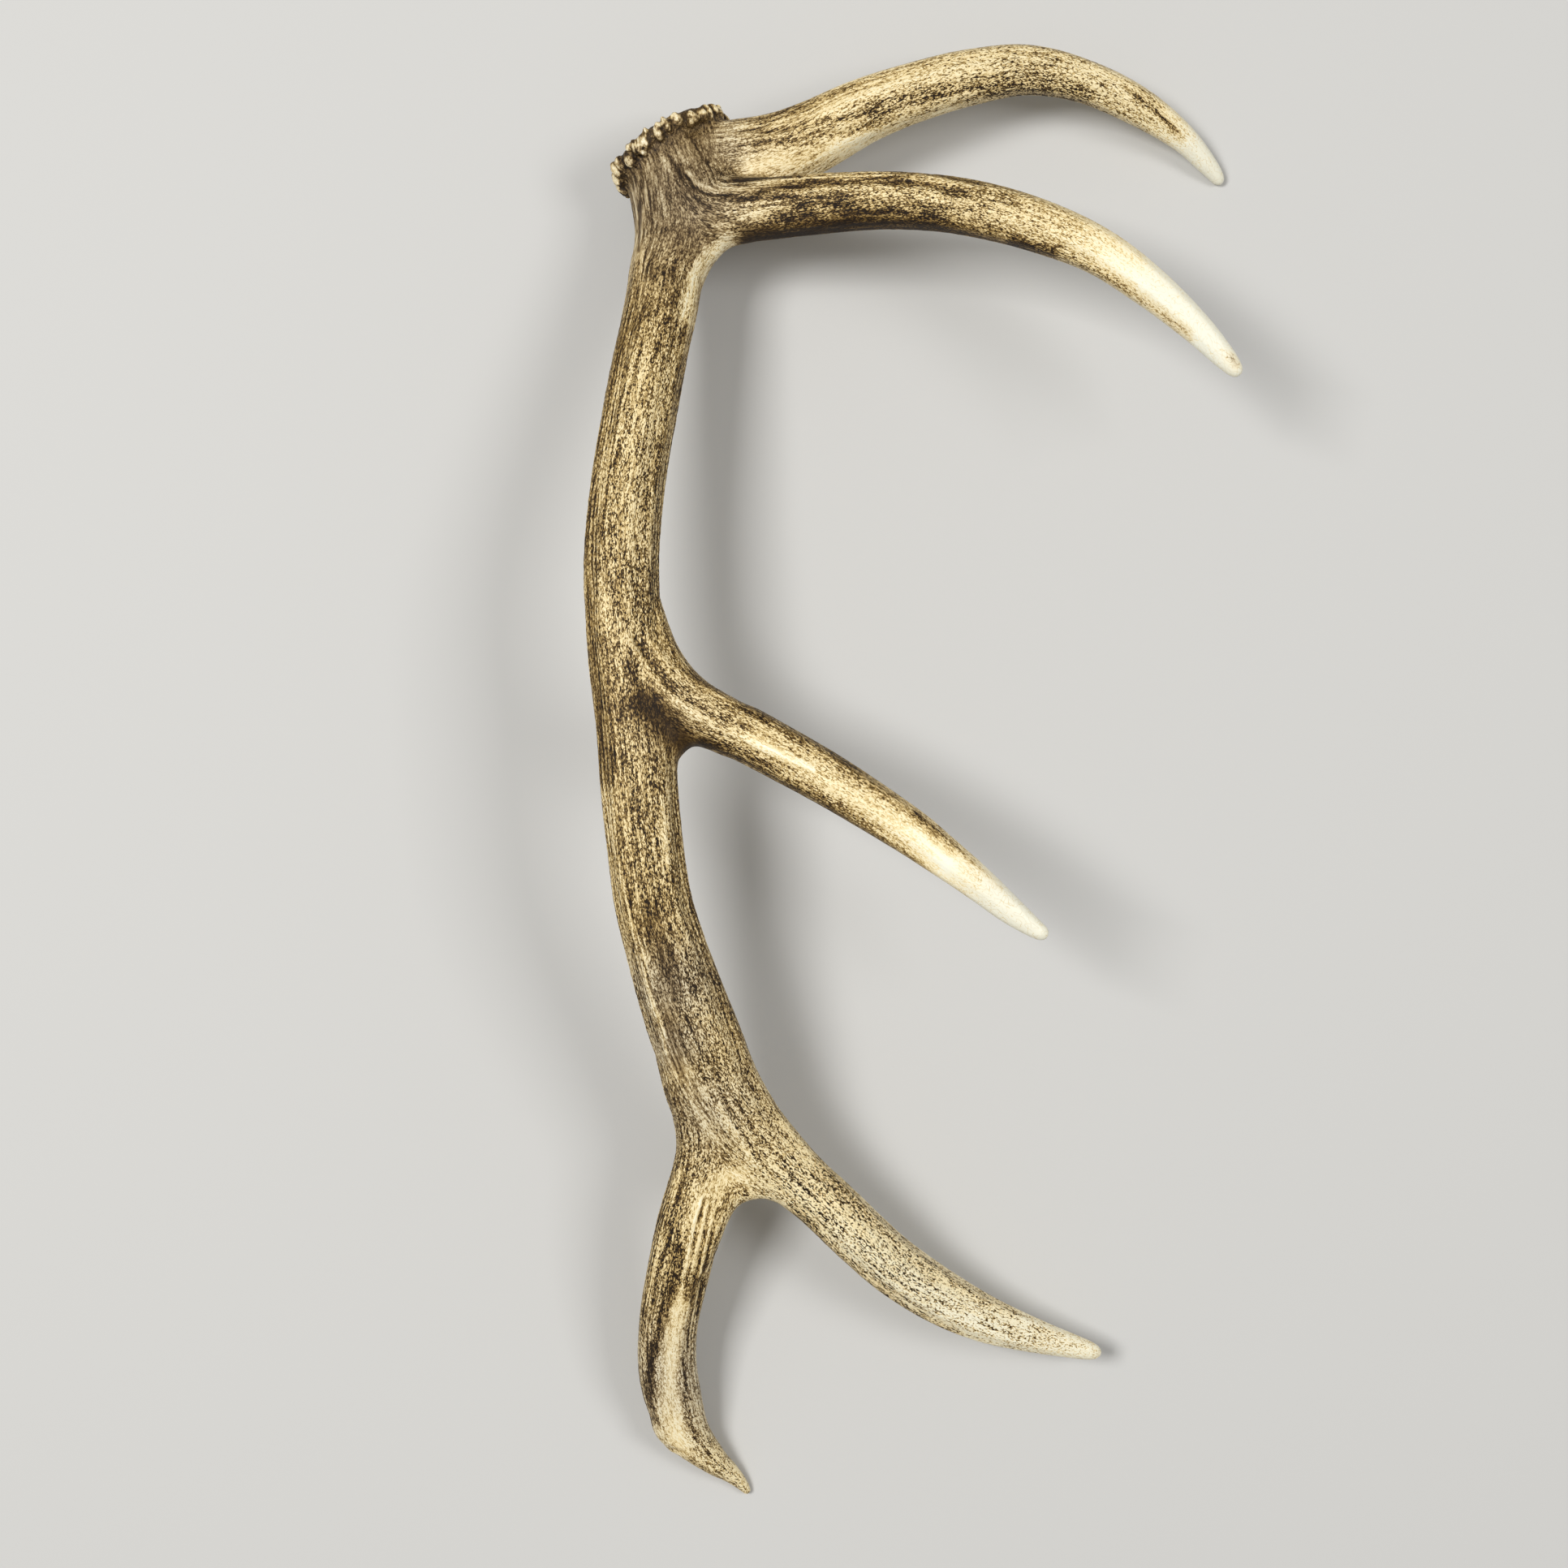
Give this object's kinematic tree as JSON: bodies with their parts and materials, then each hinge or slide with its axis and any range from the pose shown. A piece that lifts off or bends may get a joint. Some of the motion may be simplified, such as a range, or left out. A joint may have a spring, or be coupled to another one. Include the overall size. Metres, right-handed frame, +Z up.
{
  "type": "red deer antler",
  "caption": "Cast deer antler lying on its inner side: pearled burr, curved beam, brow, bez and trez tines, and a forked crown.",
  "frame": {"origin": "middle of the antler's footprint, on the surface that it lies on", "axes": "+Z up, +Y along the antler towards its burr, +X the way the tines point"},
  "size_m": [0.3654, 0.8362, 0.1474],
  "materials": {
    "antler_beam": "satin",
    "antler_tine": "satin"
  },
  "bodies": {
    "root": {"lower_beam": "antler_beam", "upper_beam": "antler_beam", "brow_tine": "antler_tine", "bez_tine": "antler_tine", "trez_tine": "antler_tine", "crown_front_tine": "antler_tine", "crown_rear_tine": "antler_tine"}
  },
  "joints": []
}
